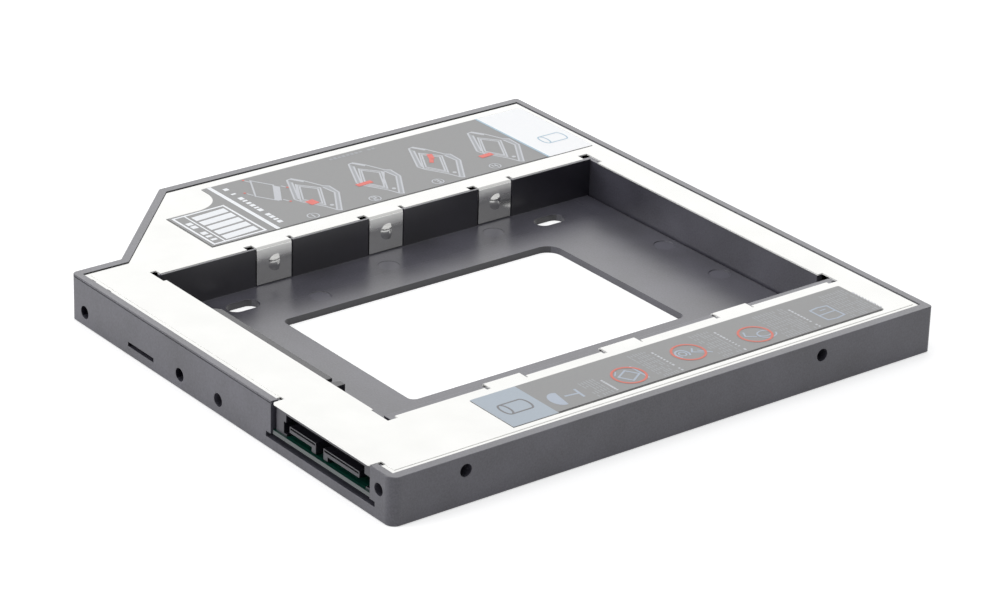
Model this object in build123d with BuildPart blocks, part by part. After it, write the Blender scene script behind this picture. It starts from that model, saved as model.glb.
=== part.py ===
from build123d import *
import os
from math import hypot

# Optical bay drive caddy, in millimetres.
# +X runs across the width, +Y from the plug end to the bezel end, +Z up through the steel cover.
# The origin is at the middle of the underside.

# Envelope of the tray
width = 128.0
depth = 126.1
height = 9.5
cutaway_width = 24.86
cutaway_straight = 11.16
cutaway_slant = 24.58
near_corner_radius = 2.0
rear_left_radius = 1.2
corner_radius = 0.8
edge_radius = 0.15
edge_bevel = 0.2

# Rim, cover seat and floor
rim_side = 1.9
rim_end = 1.5
rim_slant = 1.7
seat_width = 0.8
floor_thickness = 1.4
inner_wall = 1.4
right_wall = 2.4
bay_lip_rise = 0.25
rib = 1.0
rib_rear_set = 38.2
rib_middle_shift = 14.9
rib_front_set = 11.0
front_rib_sets = (-11.7, 12.6)
parting_groove = 0.25
parting_groove_depth = 0.2
parting_groove_drop = 0.25
foot_groove = 0.5
foot_groove_depth = 0.4

# Steel cover
sheet = 0.3
cover_sink = 0.1
cover_gap = 0.1
bend_radius = 0.6
coin_width = 0.9
coin_depth = 0.08
scallop_depth = 0.25
scallop_width = 1.3
scallop_sets = (5.34, 10.74)
lip_set = 0.05
lip_left_gap = 0.4
lip_right_gap = 0.3
lip_relief = 1.2

# Drive bay, as the four bands that are left round it
left_band = 35.1
right_band = 21.15
rear_band = 12.85
front_band = 8.05
bay_edge_left = 0.6
bay_edge_right = 1.55
bay_edge_rear = 0.3
bay_edge_front = 0.15
wall_opening_reach = 2.2
wall_opening_inset = 0.8
wall_opening_front = 2.5
wall_opening_bottom = 3.95

# Relief cuts at the bay's corners: side, end, length along the end edge, reach past the side edge,
# depth past the end edge, and length along the side edge
corner_reliefs = (
    (-1, -1, 3.2, 1.6, 0.7, 0.7),
    (-1, 1, 3.1, 2.0, 1.15, 0.1),
    (1, -1, 4.15, 0.9, 0.45, 1.7),
    (1, 1, 3.7, 0.75, 1.15, 0.1),
)

# Bent spring tabs of the cover
tab_width = 8.1
tab_rear_set = 26.7
tab_middle_shift = 0.85
tab_front_set = 24.65
tab_floor_gap = 0.2
left_tab_set_back = 0.05
right_tab_stand = 0.4
tab_back_gap = 0.3
left_rear_slit = 1.9
left_front_slit = 0.9
left_slit_depth = 1.4
right_rear_slit = 0.9
right_front_slit = 0.3
right_slit_depth = 0.8
lip_corner_depth = 1.0
pocket_gap = 0.3
dimple_height = 5.55
dimple_set = 0.4
dimple_radius = 1.75
dimple_rise = 0.55
dimple_lance = 0.65

# Floor window, slots and pin marks
window_left_set = 15.5
window_right_set = 14.65
window_rear_set = 17.8
window_front_set = 22.15
window_corner_large = 3.2
window_corner = 1.5
slot_inset = 5.8
slot_spacing = 61.7
slot_width = 4.0
slot_length = 7.1
slot_rear_set = 15.45
slot_front_set = 15.0
panel_width = 8.7
panel_rear_set = 23.7
panel_front_set = 4.3
mark_depth = 0.06
mark_radius = 2.2
pin_marks = ((5.9, 49.9), (4.4, 77.0), (10.3, 30.3))
front_mark_inset = 3.7
front_marks = (-7.3, 9.6)

# Screw holes of the end and side walls
end_hole_radius = 1.3
end_hole_height = 2.95
end_hole_sets = (-8.7, 3.94)
left_hole_set = 4.74
corner_hole_radius = 1.2
corner_hole_inset = 3.85
corner_hole_height = 5.98
side_hole_radius = 1.25
side_hole_height = 6.7
side_hole_rear_set = 15.75
side_hole_front_set = 27.95
vent_set = 21.83
vent_width = 8.7
vent_bottom = 1.9
vent_top = 2.8
bezel_window_width = 7.0
bezel_window_height = 2.6
bezel_window_middle = 5.0
bezel_window_left_set = 16.0
bezel_window_centre = -6.0
bezel_window_right_set = 14.0

# Circuit board
board_thickness = 0.8
board_bottom = 3.15
board_left_reach = 4.4
board_right_set = 4.5
board_rear_gap = 0.85
board_front_gap = 0.3
board_tongue_set = 0.3
groove_bottom = 2.1
groove_reach = 1.5
board_clearance = 0.25
left_screw_reach = 2.2
left_screw_set = 5.05
right_screw_inset = 2.0
right_screw_set = 1.9
boss_radius = 2.0
screw_head_radius = 1.65
screw_head_height = 0.8
screw_radius = 0.9
screw_hole = 1.1
screw_tip_gap = 0.2
screw_head_bevel = 0.25
screw_recess_depth = 0.5
screw_recess_length = 1.6
screw_recess_width = 0.5
board_post_sets = (4.6, 20.6)
board_post = 2.4

# Plug at the rear opening, a slimline drive plug with two keyed tongues
plug_inset = 6.8
plug_width = 28.8
opening_left_gap = 0.7
opening_right_gap = 0.4
plug_set = 0.75
plug_depth = 7.0
plug_cavity = 5.3
plug_top = 8.6
plug_roof = 0.5
plug_left_guide = 2.3
plug_left_lip = 3.0
plug_left_foot = 3.2
plug_right_guide = 0.6
plug_right_lip = 2.2
plug_right_foot = 1.8
guide_lip_height = 1.5
guide_foot_height = 0.4
tongue_top = 6.35
tongue_thickness = 1.25
tongue_height = 2.15
tongue_groove = 0.37
tongue_groove_depth = 0.5
tongue_groove_above = 0.65
tongue_groove_end = 0.25
tongue_set = 4.1
tongue_apart = 2.3
power_tongue_end = 0.9
signal_tongue_end = 0.98

# Contacts
contact_width = 0.5
contact_thickness = 0.15
contact_side_gap = 0.05
contact_tip_set = 0.6
contact_mouth_set = 1.0
contact_stand_off = 0.2
contact_foot = 1.0
signal_count = 7
signal_pitch = 1.27
plug_power_count = 6
plug_power_pitch = 1.0
socket_power_count = 15

# Socket for the drive, one signal and one power recess in one housing
socket_set = 19.175
socket_end_wall = 1.6
socket_far_wall = 1.55
recess_apart = 2.15
socket_post_gap = 0.9
socket_post_width = 2.4
socket_reach = 2.5
socket_post_reach = 3.0
socket_depth = 8.5
socket_base = 5.0
socket_top = 8.7
socket_chamfer = 1.3
post_slant_width = 1.0
post_slant_length = 2.1
recess_depth = 6.0
recess_top = 7.3
recess_thickness = 1.5
recess_height = 2.6
recess_end_gap = 0.75
key_gap = 0.35

# Board locks, steel strips beside the plug, and the locating pegs under the socket
lock_thickness = 0.3
lock_width = 1.6
lock_below = 0.7
lock_height = 2.6
lock_set = 4.6
lock_clearance = 0.1
peg_radius = 0.7
peg_below = 0.6
peg_inset = 3.6
peg_set = 2.4

# Chip capacitors and resistors on the board
capacitor_size = (2.0, 1.25, 0.9)
capacitor_set = 3.1
capacitor_count = 4
resistor_size = (1.6, 0.8, 0.45)
resistor_set = 17.1
resistor_count = 3
chip_pitch = 2.9
chip_row_set = 2.3
chip_cap = 0.3
chip_cap_rise = 0.04

# Labels
label_thickness = 0.08
guide_label_side_set = 4.8
guide_label_bay_set = 5.4
guide_label_rear_set = 28.75
guide_label_front_set = 3.05
guide_label_step_width = 8.65
guide_label_step_length = 13.9
guide_label_step_radius = 6.5
handling_label_bay_set = 4.15
handling_label_side_set = 4.2
handling_label_rear_set = 29.25
handling_label_front_set = 8.65
label_corner = 0.4

# Worked out from the sizes above
left_side = -width / 2
right_side = width / 2
rear_end = -depth / 2
front_end = depth / 2
shoulder_x = left_side + cutaway_width
shoulder_y = rear_end + cutaway_straight
cover_top = height - cover_sink
cover_under = cover_top - sheet
wall_side = rim_side + seat_width
wall_end = rim_end + seat_width
wall_slant = rim_slant + seat_width
wall_inside_rear = rear_end + wall_end
bay_left = left_side + left_band
bay_right = right_side - right_band
bay_rear = rear_end + rear_band
bay_front = front_end - front_band
bay_width = bay_right - bay_left
bay_length = bay_front - bay_rear
bay_middle_x = (bay_left + bay_right) / 2
bay_middle_y = (bay_rear + bay_front) / 2
edge_left = bay_left - bay_edge_left
edge_right = bay_right + bay_edge_right
edge_rear = bay_rear + bay_edge_rear
edge_front = bay_front - bay_edge_front
tab_centres = (bay_rear + tab_rear_set, bay_middle_y + tab_middle_shift, bay_front - tab_front_set)
pocket_depth = bend_radius + tab_back_gap
dimple_round = (dimple_radius ** 2 + dimple_rise ** 2) / (2 * dimple_rise)
tab_sides = (
    (bay_left, bay_left - left_tab_set_back, edge_left, 1,
     left_rear_slit, left_front_slit, left_slit_depth),
    (bay_right, bay_right - right_tab_stand, edge_right, -1,
     right_rear_slit, right_front_slit, right_slit_depth),
)
rib_rows = (bay_rear + rib_rear_set, bay_middle_y + rib_middle_shift, bay_front - rib_front_set)
slot_columns = (bay_left + slot_inset, bay_left + slot_inset + slot_spacing)
slot_rows = (bay_rear + slot_rear_set, bay_front - slot_front_set)
window_left = bay_left + window_left_set
window_right = bay_right - window_right_set
window_rear = bay_rear + window_rear_set
window_front = bay_front - window_front_set
end_holes = [shoulder_x + left_hole_set] + [bay_middle_x + x for x in end_hole_sets]
side_holes = (rear_end + side_hole_rear_set, front_end - side_hole_front_set)
vent_middle = bay_middle_x - vent_set
bezel_windows = (left_side + bezel_window_left_set, bezel_window_centre, right_side - bezel_window_right_set)

# Plug and board at the rear wall
board_top = board_bottom + board_thickness
plug_right = right_side - plug_inset
plug_left = plug_right - plug_width
plug_front = rear_end + plug_set
plug_back = plug_front + plug_depth
cavity_back = plug_front + plug_cavity
cavity_roof = plug_top - plug_roof
opening_left = plug_left - opening_left_gap
opening_right = plug_right + opening_right_gap
lip_left = opening_left + lip_left_gap
lip_right = opening_right - lip_right_gap
socket_left = bay_middle_x - socket_set
socket_front = bay_rear + socket_reach
socket_post_front = bay_rear + socket_post_reach
socket_back = socket_front - socket_depth
recess_back = socket_front - recess_depth
recess_bottom = recess_top - recess_thickness
board_left = socket_left - board_left_reach
board_right = right_side - board_right_set
board_rear = wall_inside_rear + board_rear_gap
board_front = bay_rear - inner_wall - board_front_gap
board_screws_at = (
    (socket_left - left_screw_reach, wall_inside_rear + left_screw_set),
    (plug_right - right_screw_inset, plug_back + right_screw_set),
)
board_tongue_left = opening_left + board_clearance
board_tongue_right = opening_right - board_clearance

# Tongues and recesses are as long as their contacts need, with the key at one end
key_to_contact = key_gap + contact_width / 2
plug_power_span = (plug_power_count - 1) * plug_power_pitch
signal_span = (signal_count - 1) * signal_pitch
socket_power_span = (socket_power_count - 1) * signal_pitch
tongue_under = tongue_top - tongue_thickness
power_tongue_left = plug_left + tongue_set
power_start = power_tongue_left + power_tongue_end + contact_width / 2
power_key_left = power_start + plug_power_span + key_to_contact
power_tongue_right = power_key_left + tongue_thickness
signal_tongue_left = power_tongue_right + tongue_apart
signal_start = signal_tongue_left + tongue_thickness + key_to_contact
signal_tongue_right = signal_start + signal_span + contact_width / 2 + signal_tongue_end
plug_power_columns = [power_start + i * plug_power_pitch for i in range(plug_power_count)]
plug_signal_columns = [signal_start + i * signal_pitch for i in range(signal_count)]
recess_end = contact_width / 2 + recess_end_gap
power_recess_left = socket_left + socket_end_wall
socket_power_start = power_recess_left + recess_end
power_recess_right = socket_power_start + socket_power_span + key_to_contact + recess_thickness
signal_recess_left = power_recess_right + recess_apart
socket_signal_start = signal_recess_left + recess_thickness + key_to_contact
signal_recess_right = socket_signal_start + signal_span + recess_end
socket_power_columns = [socket_power_start + i * signal_pitch for i in range(socket_power_count)]
socket_signal_columns = [socket_signal_start + i * signal_pitch for i in range(signal_count)]
socket_bar_right = signal_recess_right + socket_far_wall
socket_post_left = socket_bar_right + socket_post_gap
socket_right = socket_post_left + socket_post_width
lock_row = plug_front + lock_set
lock_columns = (plug_left - lock_thickness / 2, plug_right + lock_thickness / 2)
peg_row = socket_back + peg_set
peg_columns = (socket_left + peg_inset, socket_right - peg_inset)
chip_row = plug_back + chip_row_set

# Labels lie in the two bands beside the bay
guide_label_left = left_side + guide_label_side_set
guide_label_right = bay_left - guide_label_bay_set
guide_label_rear = rear_end + guide_label_rear_set
guide_label_front = front_end - guide_label_front_set
handling_label_left = bay_right + handling_label_bay_set
handling_label_right = right_side - handling_label_side_set
handling_label_rear = rear_end + handling_label_rear_set
handling_label_front = front_end - handling_label_front_set


def caddy_outline(side, end, slant):
    """Corners of the plan, set in from the sides, the ends and the slanted edge."""
    length = hypot(cutaway_width, cutaway_slant)
    lean_x = cutaway_slant / length
    lean_y = cutaway_width / length
    reach = lean_x * shoulder_x + lean_y * shoulder_y + slant
    inner_x = shoulder_x + side
    outer_x = left_side + side
    return [
        (inner_x, rear_end + end),
        (right_side - side, rear_end + end),
        (right_side - side, front_end - end),
        (outer_x, front_end - end),
        (outer_x, (reach - lean_x * outer_x) / lean_y),
        (inner_x, (reach - lean_x * inner_x) / lean_y),
    ]


def caddy_face(side, end, slant):
    """Draw the plan as a face in the sketch that is open."""
    with BuildLine() as plan:
        Polyline(*caddy_outline(side, end, slant), close=True)
    make_face(plan.edges())


def box_between(x0, x1, y0, y1, z0, z1, mode=Mode.ADD):
    """Add or cut a block given by its limits."""
    with BuildSketch(Plane.XY.offset(z0)) as base:
        with Locations(((x0 + x1) / 2, (y0 + y1) / 2)):
            Rectangle(x1 - x0, y1 - y0)
    extrude(base.sketch, amount=z1 - z0, mode=mode)


def tab_span(centre):
    """Rear and front end of one bent tab."""
    return centre - tab_width / 2, centre + tab_width / 2


# Tray, one moulding: outer wall with a seat for the cover, floor frame, bay walls and ribs
with BuildPart() as tray:
    with BuildSketch():
        caddy_face(0, 0, 0)
    extrude(amount=height)
    uprights = tray.edges().filter_by(Axis.Z).sort_by(lambda e: e.center().X - e.center().Y)
    fillet(uprights[-1], near_corner_radius)
    fillet(uprights[-2], rear_left_radius)
    fillet(uprights[:-2], corner_radius)
    fillet(tray.faces().sort_by(Axis.Z)[-1].edges(), edge_radius)
    chamfer(tray.faces().sort_by(Axis.Z)[0].edges(), edge_bevel)

    # Hollow, up to the seat and then the wider bed that the cover drops into
    with BuildSketch(Plane.XY.offset(floor_thickness)):
        caddy_face(wall_side, wall_end, wall_slant)
    extrude(amount=height, mode=Mode.SUBTRACT)
    with BuildSketch(Plane.XY.offset(cover_under)):
        caddy_face(rim_side, rim_end, rim_slant)
    extrude(amount=height, mode=Mode.SUBTRACT)

    # Walls round the drive bay
    with BuildSketch(Plane.XY.offset(floor_thickness)):
        with Locations((bay_middle_x, bay_middle_y)):
            Rectangle(bay_width + 2 * inner_wall, bay_length + 2 * inner_wall)
            Rectangle(bay_width, bay_length, mode=Mode.SUBTRACT)
    extrude(amount=cover_under - floor_thickness)
    box_between(bay_right, bay_right + right_wall, bay_rear + wall_opening_inset, bay_front,
                floor_thickness, cover_under)
    box_between(edge_left + cover_gap, bay_left, bay_rear, bay_front,
                cover_under, cover_under + bay_lip_rise)

    # Ribs that carry the cover over the two side bands and the front band
    for row in rib_rows:
        box_between(left_side + wall_side, bay_left - inner_wall, row - rib / 2, row + rib / 2,
                    floor_thickness, cover_under)
        box_between(bay_right + inner_wall, right_side - wall_side, row - rib / 2, row + rib / 2,
                    floor_thickness, cover_under)
    for column in [bay_middle_x + rib_set for rib_set in front_rib_sets]:
        box_between(column - rib / 2, column + rib / 2, bay_front + inner_wall, front_end - wall_end,
                    floor_thickness, cover_under)
    box_between(bay_left - inner_wall, bay_left - inner_wall + rib, wall_inside_rear, bay_rear,
                floor_thickness, cover_under)

    # Pockets behind the bent tabs and under the slits beside them, and open corners of the bay
    for centre in tab_centres:
        tab_rear, tab_front = tab_span(centre)
        for wall, face, edge, inward, rear_slit, front_slit, slit_depth in tab_sides:
            pocket_x = sorted((wall + inward * sheet, wall - inward * pocket_depth))
            box_between(*pocket_x, tab_rear - pocket_gap, tab_front + pocket_gap,
                        floor_thickness, height, mode=Mode.SUBTRACT)
        box_between(edge_left - left_slit_depth, edge_left + cover_gap,
                    tab_rear - left_rear_slit, tab_rear, wall_opening_bottom, height, mode=Mode.SUBTRACT)
    for opening_left_x in (bay_left - wall_opening_reach, bay_right):
        box_between(opening_left_x, opening_left_x + wall_opening_reach,
                    bay_rear - inner_wall, bay_rear + wall_opening_inset,
                    wall_opening_bottom, height, mode=Mode.SUBTRACT)
    box_between(bay_right - wall_opening_front, bay_right, bay_front, bay_front + inner_wall,
                wall_opening_bottom, height, mode=Mode.SUBTRACT)

    # Way through the bay's rear wall for the socket
    box_between(socket_left - board_clearance, socket_right + board_clearance,
                bay_rear - inner_wall, bay_rear, board_top - board_clearance, height, mode=Mode.SUBTRACT)

    # Floor window, slots under the drive's screws, and the shallow marks of the mould
    with BuildSketch() as window:
        with Locations(((window_left + window_right) / 2, (window_rear + window_front) / 2)):
            Rectangle(window_right - window_left, window_front - window_rear)
        corners = window.vertices().sort_by(lambda v: v.Y - v.X)
        fillet(corners[-1], window_corner_large)
        fillet(window.vertices().sort_by(lambda v: v.Y - v.X)[:3], window_corner)
    extrude(amount=floor_thickness, mode=Mode.SUBTRACT)
    with BuildSketch():
        with Locations(*[(column, row) for column in slot_columns for row in slot_rows]):
            SlotOverall(slot_length, slot_width, rotation=90)
    extrude(amount=floor_thickness, mode=Mode.SUBTRACT)
    box_between(bay_left, bay_left + panel_width, bay_rear + panel_rear_set, bay_front - panel_front_set,
                floor_thickness - mark_depth, floor_thickness, mode=Mode.SUBTRACT)
    with BuildSketch(Plane.XY.offset(floor_thickness - 2 * mark_depth)):
        with Locations(*[(bay_left + inset, bay_rear + row) for inset, row in pin_marks]):
            Circle(mark_radius)
        with Locations(*[(bay_middle_x + column, bay_front - front_mark_inset) for column in front_marks]):
            Circle(mark_radius)
    extrude(amount=3 * mark_depth, mode=Mode.SUBTRACT)

    # Groove at the foot of the bay's front wall, and parting groove under the rear wall's rim
    box_between(bay_left, bay_right, bay_front - foot_groove, bay_front,
                floor_thickness - foot_groove_depth, floor_thickness, mode=Mode.SUBTRACT)
    groove_top = height - parting_groove_drop
    box_between(shoulder_x, opening_left, rear_end, rear_end + parting_groove_depth,
                groove_top - parting_groove, groove_top, mode=Mode.SUBTRACT)

    # Rear wall: opening for the plug, groove under the board, and the narrow vent
    box_between(opening_left, opening_right, rear_end, wall_inside_rear, board_bottom, height,
                mode=Mode.SUBTRACT)
    box_between(opening_left - groove_reach, opening_right + groove_reach, rear_end, wall_inside_rear,
                groove_bottom, board_bottom, mode=Mode.SUBTRACT)
    box_between(vent_middle - vent_width / 2, vent_middle + vent_width / 2, rear_end, wall_inside_rear,
                vent_bottom, vent_top, mode=Mode.SUBTRACT)

    # Screw holes through the walls
    with BuildSketch(Plane.XZ.offset(-rear_end)):
        with Locations(*[(x, end_hole_height) for x in end_holes]):
            Circle(end_hole_radius)
        with Locations((right_side - corner_hole_inset, corner_hole_height)):
            Circle(corner_hole_radius)
    extrude(amount=-wall_end, mode=Mode.SUBTRACT)
    with BuildSketch(Plane.YZ.offset(right_side)):
        with Locations(*[(y, side_hole_height) for y in side_holes]):
            Circle(side_hole_radius)
    extrude(amount=-wall_side, mode=Mode.SUBTRACT)

    # Windows for the hooks of a bezel
    for middle in bezel_windows:
        box_between(middle - bezel_window_width / 2, middle + bezel_window_width / 2,
                    front_end - wall_end, front_end,
                    bezel_window_middle - bezel_window_height / 2,
                    bezel_window_middle + bezel_window_height / 2, mode=Mode.SUBTRACT)

    # Bosses and posts that carry the board
    with BuildSketch(Plane.XY.offset(floor_thickness)):
        with Locations(*board_screws_at):
            Circle(boss_radius)
        with Locations(*[(plug_left + x, (board_rear + board_front) / 2) for x in board_post_sets]):
            Rectangle(rib, board_post)
    extrude(amount=board_bottom - floor_thickness)
    with BuildSketch(Plane.XY.offset(floor_thickness)):
        with Locations(*board_screws_at):
            Circle(screw_radius)
    extrude(amount=board_bottom - floor_thickness, mode=Mode.SUBTRACT)
tray.part.label = "tray"

# Cover, one folded steel sheet with a lip over the plug and six spring tabs bent down into the bay
with BuildPart() as top_cover:
    cover_rear = rear_end + rim_end + cover_gap
    with BuildSketch(Plane.XY.offset(cover_under)):
        caddy_face(rim_side + cover_gap, rim_end + cover_gap, rim_slant + cover_gap)
        with BuildSketch(mode=Mode.ADD) as lip:
            with Locations(((lip_left + lip_right) / 2, rear_end + rim_end)):
                Rectangle(lip_right - lip_left, 2 * (rim_end - lip_set))
            fillet(lip.vertices().sort_by(Axis.Y)[:2], bend_radius)
        with Locations(((edge_left + edge_right) / 2, (edge_rear + edge_front) / 2)):
            Rectangle(edge_right - edge_left, edge_front - edge_rear, mode=Mode.SUBTRACT)
        for side, end, along, beyond, past, down in corner_reliefs:
            corner_x = edge_left if side < 0 else edge_right
            corner_y = edge_rear if end < 0 else edge_front
            with Locations((corner_x + side * (beyond - along) / 2, corner_y)):
                Rectangle(along + beyond, 2 * past, mode=Mode.SUBTRACT)
            with Locations((corner_x, corner_y + end * (past - down) / 2)):
                Rectangle(2 * beyond, past + down, mode=Mode.SUBTRACT)
        for centre in tab_centres:
            tab_rear, tab_front = tab_span(centre)
            for wall, face, edge, inward, rear_slit, front_slit, slit_depth in tab_sides:
                with Locations((edge, tab_rear - rear_slit / 2)):
                    Rectangle(2 * slit_depth, rear_slit, mode=Mode.SUBTRACT)
                with Locations((edge, tab_front + front_slit / 2)):
                    Rectangle(2 * slit_depth, front_slit, mode=Mode.SUBTRACT)
        with Locations((lip_left - lip_relief / 2, cover_rear), (lip_right + lip_relief / 2, cover_rear)):
            Rectangle(lip_relief, 2 * lip_corner_depth, mode=Mode.SUBTRACT)
        with Locations(*[(shoulder_x + x, cover_rear) for x in scallop_sets]):
            Rectangle(scallop_width, 2 * scallop_depth, mode=Mode.SUBTRACT)
    extrude(amount=sheet)

    # Coined margin along the outer edge
    with BuildSketch(Plane.XY.offset(cover_top - coin_depth)):
        caddy_face(rim_side, rim_end, rim_slant)
        coin_inset = cover_gap + coin_width
        with BuildSketch(mode=Mode.SUBTRACT):
            caddy_face(rim_side + coin_inset, rim_end + coin_inset, rim_slant + coin_inset)
        with Locations(((lip_left + lip_right) / 2, rear_end + rim_end)):
            Rectangle(lip_right - lip_left, 2 * (coin_inset + lip_corner_depth), mode=Mode.SUBTRACT)
    extrude(amount=sheet, mode=Mode.SUBTRACT)

    # Bent tabs with a formed dimple each, on both sides of the bay
    tab_bottom = floor_thickness + tab_floor_gap
    for centre in tab_centres:
        tab_rear, tab_front = tab_span(centre)
        for wall, face_x, edge, inward, rear_slit, front_slit, slit_depth in tab_sides:
            bend_x = face_x - inward * bend_radius
            bend_z = cover_top - bend_radius
            inner_bend = bend_radius - sheet
            root_x = edge - inward * slit_depth / 2
            with BuildSketch(Plane.XZ.offset(-tab_rear)):
                with BuildLine():
                    Line((root_x, cover_top), (bend_x, cover_top))
                    RadiusArc((bend_x, cover_top), (face_x, bend_z), inward * bend_radius)
                    Line((face_x, bend_z), (face_x, tab_bottom))
                    Line((face_x, tab_bottom), (face_x - inward * sheet, tab_bottom))
                    Line((face_x - inward * sheet, tab_bottom), (face_x - inward * sheet, bend_z))
                    RadiusArc((face_x - inward * sheet, bend_z), (bend_x, cover_under),
                              -inward * inner_bend)
                    Line((bend_x, cover_under), (root_x, cover_under))
                    Line((root_x, cover_under), (root_x, cover_top))
                make_face()
            extrude(amount=-tab_width)
            dimple_y = centre + dimple_set
            with BuildSketch(Plane.YZ.offset(face_x)):
                with Locations((dimple_y, dimple_height)):
                    Circle(dimple_radius)
            extrude(amount=-inward * sheet, mode=Mode.SUBTRACT)
            dome = Plane((face_x, dimple_y, dimple_height), x_dir=(inward, 0, 0), z_dir=(0, -1, 0))
            with BuildSketch(dome):
                with BuildLine():
                    RadiusArc((dimple_rise, 0), (0, dimple_radius), -dimple_round)
                    Line((0, dimple_radius), (-sheet, dimple_radius))
                    RadiusArc((-sheet, dimple_radius), (dimple_rise - sheet, 0), dimple_round)
                    Line((dimple_rise - sheet, 0), (dimple_rise, 0))
                make_face()
            revolve(axis=Axis((face_x, dimple_y, dimple_height), (1, 0, 0)))
            # The dome is lanced on its front side, where the tab stays flat
            lance_x = sorted((face_x, face_x + inward * dimple_rise))
            box_between(*lance_x, dimple_y + dimple_lance, dimple_y + dimple_radius,
                        dimple_height - dimple_radius, dimple_height + dimple_radius, mode=Mode.SUBTRACT)
            flat_x = sorted((face_x, face_x - inward * sheet))
            box_between(*flat_x, dimple_y + dimple_lance, dimple_y + dimple_radius,
                        dimple_height - dimple_radius, dimple_height + dimple_radius)
top_cover.part.label = "top_cover"

# Circuit board, with a tongue that fills the opening in the rear wall
with BuildPart() as circuit_board:
    with BuildSketch(Plane.XY.offset(board_bottom)):
        with Locations(((board_left + board_right) / 2, (board_rear + board_front) / 2)):
            Rectangle(board_right - board_left, board_front - board_rear)
        tongue_middle = (board_tongue_left + board_tongue_right) / 2
        with Locations((tongue_middle, (rear_end + board_tongue_set + board_rear) / 2)):
            Rectangle(board_tongue_right - board_tongue_left, board_rear - rear_end - board_tongue_set)
        with Locations(*board_screws_at):
            Circle(screw_hole, mode=Mode.SUBTRACT)
        with Locations(*[(x, lock_row) for x in lock_columns]):
            Rectangle(lock_thickness + 2 * lock_clearance, lock_width + 2 * lock_clearance,
                      mode=Mode.SUBTRACT)
        with Locations(*[(x, peg_row) for x in peg_columns]):
            Circle(peg_radius + lock_clearance, mode=Mode.SUBTRACT)
    extrude(amount=board_thickness)
circuit_board.part.label = "circuit_board"

# Screws that hold the board to its two bosses
with BuildPart() as board_screws:
    with BuildSketch(Plane.XY.offset(board_top)):
        with Locations(*board_screws_at):
            Circle(screw_head_radius)
    extrude(amount=screw_head_height)
    chamfer(board_screws.faces().filter_by(Axis.Z).group_by(Axis.Z)[-1].edges(), screw_head_bevel)
    with BuildSketch(Plane.XY.offset(floor_thickness + screw_tip_gap)):
        with Locations(*board_screws_at):
            Circle(screw_radius)
    extrude(amount=board_top - floor_thickness - screw_tip_gap)
    with BuildSketch(Plane.XY.offset(board_top + screw_head_height - screw_recess_depth)):
        with Locations(*board_screws_at):
            Rectangle(screw_recess_length, screw_recess_width)
            Rectangle(screw_recess_width, screw_recess_length)
    extrude(amount=screw_head_height, mode=Mode.SUBTRACT)
board_screws.part.label = "board_screws"


def guide_profile():
    """Front outline of the plug's cavity between its two stepped guides, open to the board."""
    lip_level = cavity_roof - guide_lip_height
    foot_level = board_top + guide_foot_height
    return [
        (plug_left + plug_left_foot, board_top),
        (plug_left + plug_left_foot, foot_level),
        (plug_left + plug_left_guide, foot_level),
        (plug_left + plug_left_guide, lip_level),
        (plug_left + plug_left_lip, lip_level),
        (plug_left + plug_left_lip, cavity_roof),
        (plug_right - plug_right_lip, cavity_roof),
        (plug_right - plug_right_lip, lip_level),
        (plug_right - plug_right_guide, lip_level),
        (plug_right - plug_right_guide, foot_level),
        (plug_right - plug_right_foot, foot_level),
        (plug_right - plug_right_foot, board_top),
    ]


def keyed_tongue(left, right, key_left):
    """One tongue from the back of the cavity to the mouth, its key below, a groove in its nose."""
    box_between(left, right, plug_front, cavity_back, tongue_under, tongue_top)
    box_between(key_left, key_left + tongue_thickness, plug_front, cavity_back,
                tongue_top - tongue_height, tongue_top)
    groove_low = tongue_under + tongue_groove_above
    box_between(left + tongue_groove_end, right - tongue_groove_end,
                plug_front, plug_front + tongue_groove_depth,
                groove_low, groove_low + tongue_groove, mode=Mode.SUBTRACT)


def contact_slots(columns, start, end, level):
    """Cut one slot per contact, at the level that the contact lies on."""
    half = contact_width / 2 + contact_side_gap
    for x in columns:
        box_between(x - half, x + half, start, end, level, level + contact_thickness, mode=Mode.SUBTRACT)


def contact_profile(tip, back, way, level):
    """Side outline of a contact: along its carrier, down behind it and out on the board."""
    leg = back + way * contact_stand_off
    leg_outside = leg + way * contact_thickness
    toe = leg_outside + way * contact_foot
    return [
        (tip, level), (tip, level + contact_thickness),
        (leg_outside, level + contact_thickness), (leg_outside, board_top + contact_thickness),
        (toe, board_top + contact_thickness), (toe, board_top), (leg, board_top), (leg, level),
    ]


def contact_row(columns, profile):
    """Stamp one contact of this side outline in each column."""
    with BuildSketch(*[Plane.YZ.offset(x) for x in columns]) as outlines:
        with BuildLine() as side:
            Polyline(*profile, close=True)
        make_face(side.edges())
    extrude(outlines.sketch, amount=contact_width / 2, both=True)


# Plug housing: open-fronted hood with stepped guides at its ends and two keyed tongues
with BuildPart() as plug_housing:
    box_between(plug_left, plug_right, plug_front, plug_back, board_top, plug_top)
    with BuildSketch(Plane.XZ.offset(-plug_front)):
        with BuildLine():
            Polyline(*guide_profile(), close=True)
        make_face()
    extrude(amount=-plug_cavity, mode=Mode.SUBTRACT)
    keyed_tongue(power_tongue_left, power_tongue_right, power_key_left)
    keyed_tongue(signal_tongue_left, signal_tongue_right, signal_tongue_left)
    contact_slots(plug_signal_columns + plug_power_columns,
                  plug_front + contact_tip_set - contact_side_gap, plug_back, tongue_under)
plug_housing.part.label = "plug_housing"

plug_contact = contact_profile(plug_front + contact_tip_set, plug_back, 1, tongue_under)
with BuildPart() as plug_signal_contacts:
    contact_row(plug_signal_columns, plug_contact)
plug_signal_contacts.part.label = "plug_signal_contacts"

with BuildPart() as plug_power_contacts:
    contact_row(plug_power_columns, plug_contact)
plug_power_contacts.part.label = "plug_power_contacts"

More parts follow.
